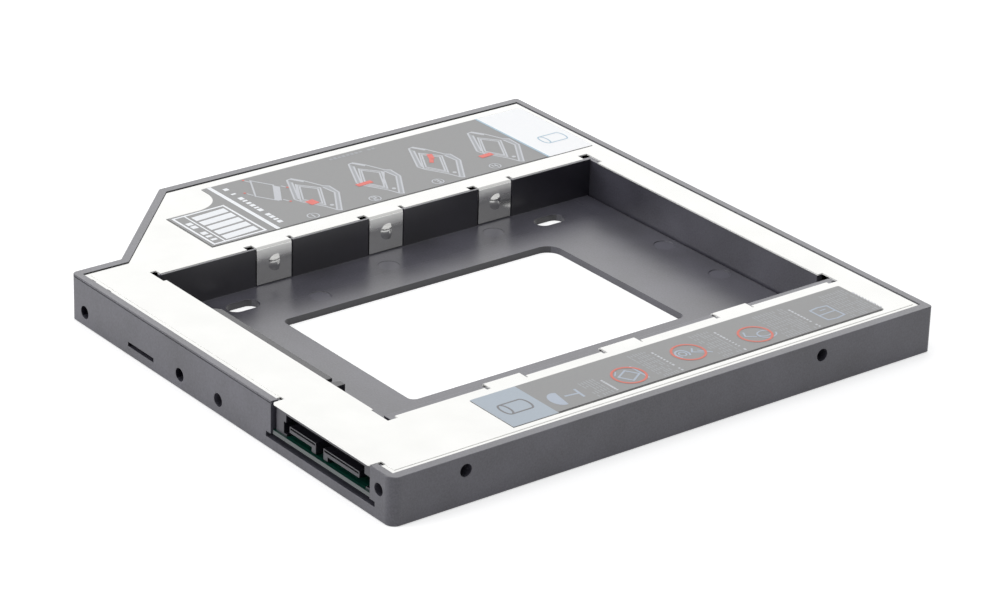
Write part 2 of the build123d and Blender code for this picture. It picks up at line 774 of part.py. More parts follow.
# Board locks: steel strips against the two ends of the plug, down through slots in the board
with BuildPart() as plug_board_locks:
    with BuildSketch(Plane.XY.offset(board_bottom - lock_below)):
        with Locations(*[(x, lock_row) for x in lock_columns]):
            Rectangle(lock_thickness, lock_width)
    extrude(amount=lock_below + board_thickness + lock_height)
plug_board_locks.part.label = "plug_board_locks"

# Socket housing: a bar with two keyed recesses, a guide post beside it and pegs into the board
with BuildPart() as socket_housing:
    base_front = socket_back + socket_base
    with BuildSketch(Plane.XY.offset(board_top)):
        with BuildLine():
            Polyline(
                (socket_left, socket_back), (socket_right, socket_back), (socket_right, socket_post_front),
                (socket_post_left + post_slant_width, socket_post_front),
                (socket_post_left, socket_post_front - post_slant_length),
                (socket_post_left, base_front), (socket_bar_right, base_front),
                (socket_bar_right, socket_front), (socket_left + socket_chamfer, socket_front),
                (socket_left, socket_front - socket_chamfer), close=True)
        make_face()
    extrude(amount=socket_top - board_top)
    key_bottom = recess_top - recess_height
    for left, right, key_left in (
            (power_recess_left, power_recess_right, power_recess_right - recess_thickness),
            (signal_recess_left, signal_recess_right, signal_recess_left)):
        box_between(left, right, recess_back, socket_front, recess_bottom, recess_top,
                    mode=Mode.SUBTRACT)
        box_between(key_left, key_left + recess_thickness, recess_back, socket_front,
                    key_bottom, recess_top, mode=Mode.SUBTRACT)
    contact_slots(socket_signal_columns + socket_power_columns, socket_back, recess_back, recess_bottom)
    with BuildSketch(Plane.XY.offset(board_bottom - peg_below)):
        with Locations(*[(x, peg_row) for x in peg_columns]):
            Circle(peg_radius)
    extrude(amount=board_thickness + peg_below)
socket_housing.part.label = "socket_housing"

socket_contact = contact_profile(socket_front - contact_mouth_set, socket_back, -1, recess_bottom)
with BuildPart() as socket_signal_contacts:
    contact_row(socket_signal_columns, socket_contact)
socket_signal_contacts.part.label = "socket_signal_contacts"

with BuildPart() as socket_power_contacts:
    contact_row(socket_power_columns, socket_contact)
socket_power_contacts.part.label = "socket_power_contacts"


def chips(first, count, size):
    """A row of chips on the board, each a body between two slightly thicker end caps."""
    length, breadth, tall = size
    for x in [first + i * chip_pitch for i in range(count)]:
        start = x - length / 2
        body_half = breadth / 2 - chip_cap_rise
        box_between(start, start + length, chip_row - body_half, chip_row + body_half,
                    board_top, board_top + tall - chip_cap_rise)
        for cap in (start, start + length - chip_cap):
            box_between(cap, cap + chip_cap, chip_row - breadth / 2, chip_row + breadth / 2,
                        board_top, board_top + tall)


with BuildPart() as capacitors:
    chips(plug_left + capacitor_set, capacitor_count, capacitor_size)
capacitors.part.label = "capacitors"

with BuildPart() as resistors:
    chips(plug_left + resistor_set, resistor_count, resistor_size)
resistors.part.label = "resistors"

# Labels that lie on the cover, the long one narrowed at its rear end
with BuildPart() as installation_label:
    step_x = guide_label_left + guide_label_step_width
    step_y = guide_label_rear + guide_label_step_length
    with BuildSketch(Plane.XY.offset(cover_top)) as guide_outline:
        with BuildLine():
            Polyline(
                (step_x, guide_label_rear), (guide_label_right, guide_label_rear),
                (guide_label_right, guide_label_front), (guide_label_left, guide_label_front),
                (guide_label_left, step_y), (step_x, step_y), close=True)
        make_face()
        inner_corner = guide_outline.vertices().sort_by_distance((step_x, step_y))[0]
        fillet(inner_corner, guide_label_step_radius)
        far_corners = guide_outline.vertices().group_by(Axis.Y)[-1]
        fillet(far_corners, label_corner)
    extrude(amount=label_thickness)
installation_label.part.label = "installation_label"

with BuildPart() as handling_label:
    label_width = handling_label_right - handling_label_left
    label_length = handling_label_front - handling_label_rear
    with BuildSketch(Plane.XY.offset(cover_top)):
        with Locations((handling_label_left + label_width / 2, handling_label_rear + label_length / 2)):
            RectangleRounded(label_width, label_length, label_corner)
    extrude(amount=label_thickness)
handling_label.part.label = "handling_label"

os.makedirs("parts", exist_ok=True)
for piece in (
        tray, top_cover, circuit_board, board_screws, plug_housing, plug_signal_contacts,
        plug_power_contacts, plug_board_locks, socket_housing, socket_signal_contacts,
        socket_power_contacts, capacitors, resistors, installation_label, handling_label):
    export_step(piece.part, f"parts/{piece.part.label}.step")
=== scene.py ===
import math
import bmesh
import bpy
from mathutils import Matrix, Vector


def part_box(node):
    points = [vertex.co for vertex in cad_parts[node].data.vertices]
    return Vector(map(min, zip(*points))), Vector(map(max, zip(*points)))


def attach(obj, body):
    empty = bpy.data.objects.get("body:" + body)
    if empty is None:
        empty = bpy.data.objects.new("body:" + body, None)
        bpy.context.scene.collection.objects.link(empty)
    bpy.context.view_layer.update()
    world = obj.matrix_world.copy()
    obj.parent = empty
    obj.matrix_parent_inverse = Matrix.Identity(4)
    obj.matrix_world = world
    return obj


# Optical bay drive caddy: materials, printed labels, studio light and camera.
# Blender works in metres; the sizes below are in millimetres unless they say otherwise.
MM = 0.001

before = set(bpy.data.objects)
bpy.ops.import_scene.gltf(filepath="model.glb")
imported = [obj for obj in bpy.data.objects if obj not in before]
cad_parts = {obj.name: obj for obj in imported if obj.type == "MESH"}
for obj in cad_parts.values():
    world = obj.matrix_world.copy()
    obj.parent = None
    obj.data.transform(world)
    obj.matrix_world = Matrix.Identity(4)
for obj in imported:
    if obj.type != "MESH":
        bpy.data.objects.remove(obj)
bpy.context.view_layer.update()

# Camera: its direction and roll, the point it looks at, its distance and its lens
VIEW_AZIMUTH = math.radians(51.627)
VIEW_ELEVATION = math.radians(24.523)
VIEW_ROLL = math.radians(1.859)
VIEW_TARGET = Vector((10.19, 1.53, 6.0)) * MM
VIEW_DISTANCE = 697.4 * MM
SENSOR_WIDTH = 36.0
LENS = 132.27

# Print lies this far above the film of a label, and each stroke a little above the one before it
INK_LIFT = 0.008
STROKE_LIFT = 0.0006

# Ejector pins that left a paler disc on the bay's floor, and the radius of the disc
PIN_MARKS = (
    (-23.0, -0.3, 1.4), (-24.5, 26.8, 1.4), (-18.6, -19.9, 1.4), (-0.3, 51.3, 1.4), (16.6, 51.3, 1.4))
PIN_RADIUS = 2.2

# Width of the disc's soft rim, and how much paler the disc is
PIN_RIM = 0.5
PIN_PALENESS = 0.2

# Radius to which the edges of the mouldings look rounded
EDGE_RADIUS = 0.2

# Refraction of the mouldings' plastic, and roughness of the glossy skin of a moulding
PLASTIC_IOR = 1.58
SKIN_ROUGHNESS = 0.3

# Between these levels the cover's upright faces go dull, towards its stretched bent edges, and are painted
# paler upward, a painted highlight
BEND_FROM = 6.2
BEND_TO = 8.4
BEND_ROUGHNESS = 0.45

# Spacing of the chips along the board, and length of their tinned ends
CHIP_PITCH = 2.9
CHIP_CAP = 0.3

# A face looks along an axis where its direction's share of it passes FACING, and stands across it
# where that share is at most FACING_SLACK
FACING = 0.7
FACING_SLACK = 0.4

# Share left at both ends of a tone, for noise that stays near its middle
NOISE_MARGIN = 0.35

# Widths of the strokes of print
HEAVY_LINE = 0.75
FINE_LINE = 0.36
HAIR_LINE = 0.3
EDGE_LINE = 0.16

# Corners of a line reach no further out than half its width over this
MITRE_LIMIT = 0.4

# Print ends this far inside the edge of a label
INSET = 0.05

# Rows of dashes: shortest share of a full dash, and the share of dashes that are printed
SHORTEST_DASH = 0.45
DASHES_KEPT = 0.88

# Soft boxes: place, size and radiance, all aimed at the middle of the caddy; metres
SOFT_BOXES = {
    "left_box": ((-0.455, -1.07, 0.5), (0.9, 0.6), 4.4),
    "far_box": ((-0.907, 0.719, 0.59), (1.4, 0.75), 0.67),
    "top_box": ((0.1, 0.0, 1.2), (0.9, 0.9), 2.4),
}
WORLD_FILL = 0.36

# The floor's reach in metres, its paper's albedo, and its glow as the camera and as gloss sees it
FLOOR_REACH = 4.0
FLOOR_ALBEDO = 0.8
FLOOR_GLOW_EXTRA = 0.22
FLOOR_GLOW = 0.24


def srgb(code):
    """Linear colour of an sRGB hex code."""
    values = [int(code[i:i + 2], 16) / 255 for i in (1, 3, 5)]
    linear = [v / 12.92 if v <= 0.04045 else ((v + 0.055) / 1.055) ** 2.4 for v in values]
    return (*linear, 1.0)


def add(tree, kind, inputs=None, **settings):
    """Add a node with its settings; an input is a plain value, or (node, output name) to link."""
    node = tree.nodes.new(kind)
    for name, value in settings.items():
        setattr(node, name, value)
    for name, value in (inputs or {}).items():
        socket = node.inputs[name]
        if isinstance(value, tuple) and isinstance(value[0], bpy.types.Node):
            tree.links.new(value[0].outputs[value[1]], socket)
        else:
            socket.default_value = value
    return node


def new_material(name):
    """An empty node material with its output, and the part's own coordinates in millimetres."""
    material = bpy.data.materials.new(name)
    material.use_nodes = True
    tree = material.node_tree
    tree.nodes.clear()
    output = add(tree, "ShaderNodeOutputMaterial")
    place = add(tree, "ShaderNodeTexCoord")
    millimetres = add(tree, "ShaderNodeMapping", {"Vector": (place, "Object"), "Scale": (1 / MM,) * 3})
    return material, tree, output, millimetres


def tone(tree, amount, low, high, margin=0.0):
    """Blend of two colours by a 0 to 1 amount; a margin left at both ends makes it stronger."""
    ramp = add(tree, "ShaderNodeValToRGB", {"Fac": amount})
    for element, colour, place in zip(ramp.color_ramp.elements, (low, high), (margin, 1 - margin)):
        element.color = srgb(colour)
        element.position = place
    return ramp, "Color"


def spread(tree, amount, low, high):
    """Stretch a 0 to 1 amount to a range of numbers."""
    node = add(tree, "ShaderNodeMapRange", {"Value": amount, "To Min": low, "To Max": high})
    return node, "Result"


def looks_along(tree, axis, test, limit):
    """1 on faces whose direction along an axis passes a test, else 0."""
    own = add(tree, "ShaderNodeTexCoord")
    parts = add(tree, "ShaderNodeSeparateXYZ", {"Vector": (own, "Normal")})
    return add(tree, "ShaderNodeMath", {0: (parts, axis), 1: limit, 2: FACING_SLACK}, operation=test), "Value"


def blend(tree, share, first, second):
    """Mix of two colours by a share that varies over the surface."""
    mix = add(tree, "ShaderNodeMix", {"Factor": share}, data_type="RGBA")
    tree.links.new(first[0].outputs[first[1]], mix.inputs["A"])
    tree.links.new(second[0].outputs[second[1]], mix.inputs["B"])
    return mix, "Result"


def finish_material(material, tree, output, surface):
    """Join the surface to the output."""
    tree.links.new(surface.outputs["BSDF"], output.inputs["Surface"])
    return material


def moulded_plastic(name, low, high, roughness, grain_height, skin=0.0, pins=(),
                    lit_front_tones=None, shaded_left_wall_tones=None):
    """Injection-moulded plastic: clouded tone, spark-eroded grain, soft edges, pale ejector discs.

    The grain is drawn about three times coarser than it is, so that it still shows from afar. The skin
    is the moulding's glossy surface layer. Faces looking towards -Y may take a paler tone, a painted
    highlight, and the left wall of the bay may take a blacker one, a painted shade.
    """
    material, tree, output, place = new_material(name)
    cloud = add(tree, "ShaderNodeTexNoise", {"Vector": (place, "Vector"), "Scale": 0.09, "Detail": 4.0})
    grain = add(tree, "ShaderNodeTexNoise", {"Vector": (place, "Vector"), "Scale": 2.8, "Detail": 4.0})
    soft_edge = add(tree, "ShaderNodeBevel", {"Radius": EDGE_RADIUS * MM}, samples=4)
    bump = add(tree, "ShaderNodeBump", {
        "Height": (grain, "Fac"), "Strength": 0.35, "Distance": grain_height * MM,
        "Normal": (soft_edge, "Normal")})
    half_cloud = add(tree, "ShaderNodeMath", {0: (cloud, "Fac"), 1: 0.5}, operation="MULTIPLY")
    shade = (add(tree, "ShaderNodeMath", {
        0: (grain, "Fac"), 1: 0.5, 2: (half_cloud, "Value")}, operation="MULTIPLY_ADD"), "Value")
    for pin in pins:
        reach = add(tree, "ShaderNodeVectorMath", {0: (place, "Vector"), 1: pin}, operation="DISTANCE")
        disc = add(tree, "ShaderNodeMapRange", {
            "Value": (reach, "Value"), "From Min": PIN_RADIUS - PIN_RIM, "From Max": PIN_RADIUS,
            "To Min": PIN_PALENESS, "To Max": 0.0})
        shade = (add(tree, "ShaderNodeMath", {0: shade, 1: (disc, "Result")}, operation="ADD"), "Value")
    colour = tone(tree, shade, low, high, NOISE_MARGIN)
    if lit_front_tones:
        # Faces looking towards -Y are painted paler: a painted highlight
        lit_front_mask = looks_along(tree, "Y", "LESS_THAN", -FACING)
        colour = blend(tree, lit_front_mask, colour, tone(tree, shade, *lit_front_tones, NOISE_MARGIN))
    if shaded_left_wall_tones:
        # The bay's left wall, looking along +X, is painted blacker: painted shade
        axes = add(tree, "ShaderNodeSeparateXYZ", {"Vector": (place, "Vector")})
        in_left = add(tree, "ShaderNodeMath", {0: (axes, "X"), 1: 0.0}, operation="LESS_THAN")
        wall = add(tree, "ShaderNodeMath", {
            0: looks_along(tree, "X", "GREATER_THAN", FACING), 1: (in_left, "Value")}, operation="MULTIPLY")
        colour = blend(tree, (wall, "Value"), colour, tone(tree, shade, *shaded_left_wall_tones, NOISE_MARGIN))
    surface = add(tree, "ShaderNodeBsdfPrincipled", {
        "Base Color": colour,
        "Roughness": spread(tree, (cloud, "Fac"), roughness - 0.04, roughness + 0.04),
        "IOR": PLASTIC_IOR, "Coat Weight": skin, "Coat Roughness": SKIN_ROUGHNESS,
        "Normal": (bump, "Normal")})
    return finish_material(material, tree, output, surface)


def sheet_metal(name, low, high, roughness, grain_stretch, bend_highlight_tones=None):
    """Rolled or plated metal: fine lines along one axis, perhaps rougher and with a painted highlight near
    its bent edges.
    """
    material, tree, output, place = new_material(name)
    lines_place = add(tree, "ShaderNodeMapping", {"Vector": (place, "Vector"), "Scale": grain_stretch})
    lines = add(tree, "ShaderNodeTexNoise", {
        "Vector": (lines_place, "Vector"), "Scale": 4.0, "Detail": 5.0, "Roughness": 0.65})
    cloud = add(tree, "ShaderNodeTexNoise", {"Vector": (place, "Vector"), "Scale": 0.12, "Detail": 3.0})
    bump = add(tree, "ShaderNodeBump", {
        "Height": (lines, "Fac"), "Strength": 0.1, "Distance": 0.01 * MM})
    colour = tone(tree, (cloud, "Fac"), low, high)
    gloss = spread(tree, (lines, "Fac"), roughness - 0.05, roughness + 0.07)
    if bend_highlight_tones:
        upright = looks_along(tree, "Z", "COMPARE", 0.0)
        axes = add(tree, "ShaderNodeSeparateXYZ", {"Vector": (place, "Vector")})
        climb = add(tree, "ShaderNodeMapRange", {
            "Value": (axes, "Z"), "From Min": BEND_FROM, "From Max": BEND_TO})
        bend_dulling_and_highlight = add(tree, "ShaderNodeMath", {0: upright, 1: (climb, "Result")}, operation="MULTIPLY")
        gloss = (add(tree, "ShaderNodeMath", {
            0: (bend_dulling_and_highlight, "Value"), 1: BEND_ROUGHNESS, 2: gloss}, operation="MULTIPLY_ADD"), "Value")
        # Painted highlight: upright faces turn paler upward towards the bent edges
        colour = blend(tree, (bend_dulling_and_highlight, "Value"), colour, tone(tree, (lines, "Fac"), *bend_highlight_tones))
    surface = add(tree, "ShaderNodeBsdfPrincipled", {
        "Metallic": 1.0, "Base Color": colour, "Roughness": gloss, "Normal": (bump, "Normal")})
    return finish_material(material, tree, output, surface)


def printed_film(name, low, high):
    """Printed polyester film or its ink: a flat colour with fine print mottle under a satin skin."""
    material, tree, output, place = new_material(name)
    mottle = add(tree, "ShaderNodeTexNoise", {"Vector": (place, "Vector"), "Scale": 2.6, "Detail": 4.0})
    bump = add(tree, "ShaderNodeBump", {
        "Height": (mottle, "Fac"), "Strength": 0.1, "Distance": 0.01 * MM})
    surface = add(tree, "ShaderNodeBsdfPrincipled", {
        "Base Color": tone(tree, (mottle, "Fac"), low, high),
        "Roughness": spread(tree, (mottle, "Fac"), 0.38, 0.48),
        "Specular IOR Level": 0.35,
        "Normal": (bump, "Normal")})
    return finish_material(material, tree, output, surface)


def solder_resist(name):
    """Circuit board: green resist over copper tracks along it, bare glass cloth at its edges."""
    material, tree, output, place = new_material(name)
    tracks = add(tree, "ShaderNodeTexBrick", {
        "Vector": (place, "Vector"), "Scale": 0.55, "Mortar Size": 0.018, "Mortar Smooth": 0.2,
        "Brick Width": 7.0, "Row Height": 0.45})
    glass = add(tree, "ShaderNodeTexNoise", {"Vector": (place, "Vector"), "Scale": 1.4, "Detail": 5.0})
    bump = add(tree, "ShaderNodeBump", {
        "Height": (tracks, "Fac"), "Strength": 0.4, "Distance": 0.03 * MM})
    sawn = looks_along(tree, "Z", "COMPARE", 0.0)
    resist = tone(tree, (glass, "Fac"), "#05261f", "#083c32")
    track = tone(tree, (glass, "Fac"), "#0c463b", "#135a4b")
    green = blend(tree, (tracks, "Fac"), resist, track)
    edge = tone(tree, (glass, "Fac"), "#454b4c", "#555b5b")
    surface = add(tree, "ShaderNodeBsdfPrincipled", {
        "Base Color": blend(tree, sawn, green, edge),
        "Roughness": spread(tree, (glass, "Fac"), 0.3, 0.42),
        "Coat Weight": 0.3,
        "Normal": (bump, "Normal")})
    return finish_material(material, tree, output, surface)


def chip_ceramic(name, body, first, length):
    """Row of chips: fired ceramic, tinned from a set distance off each chip's middle."""
    material, tree, output, place = new_material(name)
    axes = add(tree, "ShaderNodeSeparateXYZ", {"Vector": (place, "Vector")})
    shifted = add(tree, "ShaderNodeMath", {0: (axes, "X"), 1: CHIP_PITCH / 2 - first}, operation="ADD")
    in_row = add(tree, "ShaderNodeMath", {
        0: (shifted, "Value"), 1: CHIP_PITCH}, operation="FLOORED_MODULO")
    centred = add(tree, "ShaderNodeMath", {0: (in_row, "Value"), 1: CHIP_PITCH / 2}, operation="SUBTRACT")
    reach = add(tree, "ShaderNodeMath", {0: (centred, "Value")}, operation="ABSOLUTE")
    is_cap = add(tree, "ShaderNodeMath", {
        0: (reach, "Value"), 1: length / 2 - CHIP_CAP}, operation="GREATER_THAN")
    speckle = add(tree, "ShaderNodeTexNoise", {"Vector": (place, "Vector"), "Scale": 9.0, "Detail": 3.0})
    fired = tone(tree, (speckle, "Fac"), *body)
    tinned = tone(tree, (speckle, "Fac"), "#9a9a98", "#c4c4c0")
    surface = add(tree, "ShaderNodeBsdfPrincipled", {
        "Base Color": blend(tree, (is_cap, "Value"), fired, tinned),
        "Metallic": (is_cap, "Value"), "Roughness": spread(tree, (speckle, "Fac"), 0.35, 0.5)})
    return finish_material(material, tree, output, surface)


# Black ABS of the tray, spark-eroded mould: a deep grey that goes pale where light grazes it; the bay's left
# wall takes blacker tones, a painted shade
abs_black = moulded_plastic("satin_black_abs", "#36353d", "#51505a", 0.32, 0.03, skin=0.5,
                            pins=PIN_MARKS, shaded_left_wall_tones=("#0d0c14", "#191722"))
# Glass-filled polyester of the two connectors: blacker, smoother and shinier at a low angle
connector_black = moulded_plastic("connector_polyester", "#1b1a20", "#26252b", 0.26, 0.008)
# The same plastic on the outer plug, with a painted highlight: its faces looking towards -Y are paler, as
# where they catch the light
plug_black = moulded_plastic("rubbed_polyester", "#16151b", "#201f26", 0.34, 0.008,
                             lit_front_tones=("#414046", "#4b4a50"))
# Cold-rolled steel of the cover, grain along the caddy: mirrors a pale room, dark where it faces the bay; a
# painted highlight pales its upright faces near the bent edges
cover_steel = sheet_metal("rolled_steel", "#c1c1bf", "#cbcbc9", 0.13, (3.0, 0.06, 1.0),
                          bend_highlight_tones=("#e6e6e4", "#f2f2f0"))
# Nickel plate of the screws and board locks: a warm, soft mirror
nickel = sheet_metal("nickel_plate", "#a8a59e", "#c2c0ba", 0.28, (1.0, 1.0, 0.4))
# Gold flash over spring bronze: warm glints between the dark slots
gold = sheet_metal("gold_flash", "#c79a45", "#e2bd6a", 0.26, (1.0, 0.2, 1.0))
# Grey polyester label film, and the screen inks printed on it: even, satin and slightly mottled
film_grey = printed_film("grey_label_film", "#8e8e8e", "#979797")
ink_white = printed_film("white_ink", "#c0c2c7", "#cdcfd4")
ink_bold = printed_film("bold_white_ink", "#eceef3", "#f8fafc")
ink_end = printed_film("white_end_ink", "#f6f8fb", "#ffffff")
ink_pale = printed_film("pale_print", "#a0a2a6", "#acaeb2")
ink_red = printed_film("red_ink", "#e06c63", "#e9796f")
ink_dull_red = printed_film("dull_red_ink", "#d26e60", "#db7a6c")
ink_blue_grey = printed_film("blue_grey_ink", "#aab3c1", "#b7c0cd")
ink_square = printed_film("pale_blue_grey_ink", "#a7b1bb", "#b0bac4")
ink_line_grey = printed_film("line_grey_ink", "#77777a", "#828285")
ink_sky = printed_film("pale_blue_ink", "#a9c3d4", "#b7cfdd")
# Painted shade along the labels' near edges, drawn like print
edge_shade_ink = printed_film("black_edge_ink", "#1e1e20", "#2a2a2c")
# Solder resist of the board: deep green and wet-looking, a little paler over its tracks
board_green = solder_resist("green_solder_resist")
# Fired ceramic of the capacitors, dull brown, and black glaze of the resistors, between bright ends
capacitor_brown = chip_ceramic("capacitor_ceramic", ("#7a5a3c", "#8f6d4b"), 31.5, 2.0)
resistor_black = chip_ceramic("resistor_glaze", ("#17171a", "#242428"), 45.5, 1.6)

NODE_MATERIALS = {
    "tray": abs_black,
    "top_cover": cover_steel,
    "circuit_board": board_green,
    "board_screws": nickel,
    "plug_housing": plug_black,
    "plug_signal_contacts": gold,
    "plug_power_contacts": gold,
    "plug_board_locks": nickel,
    "socket_housing": connector_black,
    "socket_signal_contacts": gold,
    "socket_power_contacts": gold,
    "capacitors": capacitor_brown,
    "resistors": resistor_black,
    "installation_label": film_grey,
    "handling_label": film_grey,
}

for node_name, material in NODE_MATERIALS.items():
    node_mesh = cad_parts[node_name].data
    if not node_mesh.materials:
        node_mesh.materials.append(material)
    for index in range(len(node_mesh.materials)):
        node_mesh.materials[index] = material


def band(points, width, closed=False):
    """Corners of a flat band of even width along a line, as one pair for each point."""
    half = width / 2
    count = len(points)
    pairs = []
    for i, point in enumerate(points):
        here = Vector(point)
        before = Vector(points[(i - 1) % count]) if closed or i > 0 else None
        after = Vector(points[(i + 1) % count]) if closed or i < count - 1 else None
        ways = [(here - before).normalized()] if before is not None else []
        ways += [(after - here).normalized()] if after is not None else []
        way = sum(ways, Vector((0, 0))).normalized()
        across = Vector((-way.y, way.x))
        stretch = 1 / max(abs(way.dot(ways[0])), MITRE_LIMIT)
        pairs.append((here + across * half * stretch, here - across * half * stretch))
    return pairs


def arc(centre, radii, start=0.0, sweep=360.0, steps=32):
    """Points along an ellipse's arc, both ends included unless it closes."""
    whole = abs(sweep) >= 360
    turns = [math.radians(start + sweep * i / steps) for i in range(steps if whole else steps + 1)]
    return [(centre[0] + radii[0] * math.cos(a), centre[1] + radii[1] * math.sin(a)) for a in turns]


def from_to(centre, *points):
    """Points given from a centre."""
    return [(centre[0] + x, centre[1] + y) for x, y in points]


def keep_on_label(piece):
    """Declare a finished piece of print, which stays on the part."""
    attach(piece, "root")


class Print:
    """One ink of one label: flat faces just above the film, each stroke a hair above the last."""

    def __init__(self, name, material, level):
        self.name = name
        self.material = material
        self.level = level
        self.mesh = bmesh.new()

    def patch(self, points):
        """A filled shape."""
        self.level += STROKE_LIFT
        self.faces([points])

    def line(self, points, width, closed=False):
        """A drawn line."""
        self.level += STROKE_LIFT
        pairs = band(points, width, closed)
        last = len(pairs) if closed else len(pairs) - 1
        self.faces([(*pairs[i], *reversed(pairs[(i + 1) % len(pairs)])) for i in range(last)])

    def faces(self, outlines):
        """Faces at the level that has been reached."""
        for outline in outlines:
            corners = [self.mesh.verts.new((p[0] * MM, p[1] * MM, self.level * MM)) for p in outline]
            face = self.mesh.faces.new(corners)
            face.normal_update()
            if face.normal.z < 0:
                face.normal_flip()

    def drawing(self):
        """The print as a plain object, not declared yet."""
        mesh = bpy.data.meshes.new(self.name)
        self.mesh.to_mesh(mesh)
        self.mesh.free()
        mesh.materials.append(self.material)
        piece = bpy.data.objects.new(self.name, mesh)
        bpy.context.scene.collection.objects.link(piece)
        return piece

    def finish(self):
        """Make the object, which rides on the part."""
        keep_on_label(self.drawing())


def new_tree(name, inputs):
    """An empty geometry tree with these named inputs, as its group input and output."""
    tree = bpy.data.node_groups.new(name, "GeometryNodeTree")
    for label, kind in inputs:
        tree.interface.new_socket(name=label, in_out="INPUT", socket_type=kind)
    tree.interface.new_socket(name="Geometry", in_out="OUTPUT", socket_type="NodeSocketGeometry")
    return tree, add(tree, "NodeGroupInput")


def close_tree(tree, given, instances):
    """End a tree: instances made real, then their ink."""
    real = add(tree, "GeometryNodeRealizeInstances", {"Geometry": instances})
    inked = add(tree, "GeometryNodeSetMaterial", {"Geometry": (real, "Geometry"), "Material": (given, "Ink")})
    add(tree, "NodeGroupOutput", {"Geometry": (inked, "Geometry")})
    return tree


def stamping_tree():
    """Prints one drawing at each point of a mesh."""
    tree, given = new_tree("stamped_drawings", (
        ("Places", "NodeSocketGeometry"), ("Drawing", "NodeSocketObject"), ("Ink", "NodeSocketMaterial")))
    drawing = add(tree, "GeometryNodeObjectInfo", {"Object": (given, "Drawing")})
    stamped = add(tree, "GeometryNodeInstanceOnPoints", {
        "Points": (given, "Places"), "Instance": (drawing, "Geometry")})
    return close_tree(tree, given, (stamped, "Instances"))


def small_print_tree():
    """Block of rows broken into uneven dashes."""
    tree, given = new_tree("small_print_rows", (
        ("Places", "NodeSocketGeometry"), ("Centre", "NodeSocketVector"), ("Width", "NodeSocketFloat"),
        ("Height", "NodeSocketFloat"), ("Dashes", "NodeSocketInt"), ("Rows", "NodeSocketInt"),
        ("Dash Length", "NodeSocketFloat"), ("Stroke", "NodeSocketFloat"), ("Seed", "NodeSocketInt"),
        ("Ink", "NodeSocketMaterial")))
    grid = add(tree, "GeometryNodeMeshGrid", {
        "Size X": (given, "Width"), "Size Y": (given, "Height"),
        "Vertices X": (given, "Dashes"), "Vertices Y": (given, "Rows")})
    placed = add(tree, "GeometryNodeSetPosition", {"Geometry": (grid, "Mesh"), "Offset": (given, "Centre")})
    share = add(tree, "FunctionNodeRandomValue", {
        "Min": SHORTEST_DASH, "Max": 1.0, "Seed": (given, "Seed")})
    length = add(tree, "ShaderNodeMath", {0: (given, "Dash Length")}, operation="MULTIPLY")
    tree.links.new(next(s for s in share.outputs if s.enabled), length.inputs[1])
    size = add(tree, "ShaderNodeCombineXYZ", {"X": (length, "Value"), "Y": (given, "Stroke"), "Z": 1.0})
    kept = add(tree, "FunctionNodeRandomValue", {"Seed": (given, "Seed")}, data_type="BOOLEAN")
    next(s for s in kept.inputs if s.name == "Probability" and s.enabled).default_value = DASHES_KEPT
    dash = add(tree, "GeometryNodeMeshGrid", {"Size X": 1.0, "Size Y": 1.0, "Vertices X": 2, "Vertices Y": 2})
    dashes = add(tree, "GeometryNodeInstanceOnPoints", {
        "Points": (placed, "Geometry"), "Instance": (dash, "Mesh"), "Scale": (size, "Vector")})
    tree.links.new(next(s for s in kept.outputs if s.enabled), dashes.inputs["Selection"])
    return close_tree(tree, given, (dashes, "Instances"))


def grow(name, tree, points, values):
    """Run a geometry tree on these points, and keep the result as a plain mesh on the label."""
    places = bpy.data.meshes.new(name + "_places")
    places.from_pydata([Vector((*point, 0)) * MM for point in points], [], [])
    piece = bpy.data.objects.new(name, places)
    bpy.context.scene.collection.objects.link(piece)
    modifier = piece.modifiers.new(name, "NODES")
    modifier.node_group = tree
    for item in tree.interface.items_tree:
        if item.in_out == "INPUT" and item.name in values:
            modifier[item.identifier] = values[item.name]
    graph = bpy.context.evaluated_depsgraph_get()
    mesh = bpy.data.meshes.new_from_object(piece.evaluated_get(graph), depsgraph=graph)
    piece.modifiers.clear()
    piece.data = mesh
    keep_on_label(piece)


STAMPS = stamping_tree()
SMALL_PRINT = small_print_tree()


def stamp(drawn, places):
    """Repeat a drawing at each of these places."""
    drawing = drawn.drawing()
    drawing.name = drawn.name + "_drawing"
    grow(drawn.name, STAMPS, places, {"Drawing": drawing, "Ink": drawn.material})
    bpy.data.objects.remove(drawing)


def small_print(name, ink, level, low, high, dashes, rows, dash_length, stroke, seed):
    """Rows of fine dashes between the centres of the first and the last dash."""
    centre = ((low[0] + high[0]) / 2 * MM, (low[1] + high[1]) / 2 * MM, level * MM)
    grow(name, SMALL_PRINT, [], {
        "Centre": centre, "Width": (high[0] - low[0]) * MM, "Height": (high[1] - low[1]) * MM,
        "Dashes": dashes, "Rows": rows, "Dash Length": dash_length * MM, "Stroke": stroke * MM,
        "Seed": seed, "Ink": ink})


def node_box_mm(name):
    """Lowest and highest corner of a node, in millimetres."""
    low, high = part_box(name)
    return Vector(low) / MM, Vector(high) / MM


# Long label: four drawings of the caddy, each step with its number and its red mark
guide_low, guide_high = node_box_mm("installation_label")
ink_level = guide_high.z + INK_LIFT

# Places of the small drawing, one for each step
FIRST_CADDY = (-53.6, -3.4)
STEP_PITCH = 15.2
STEP_COUNT = 4
CADDY_PLACES = [(FIRST_CADDY[0], FIRST_CADDY[1] + STEP_PITCH * i) for i in range(STEP_COUNT)]

guide_caddies = Print("guide_print_caddies", ink_white, ink_level)
guide_white = Print("guide_print_white", ink_white, ink_level + 2 * INK_LIFT)
guide_red = Print("guide_print_red", ink_red, ink_level + 4 * INK_LIFT)
guide_sky = Print("guide_print_pale_blue", ink_sky, ink_level + 3 * INK_LIFT)
# Painted shade along the label's near edges
guide_edge_shade = Print("guide_print_edge", edge_shade_ink, ink_level)

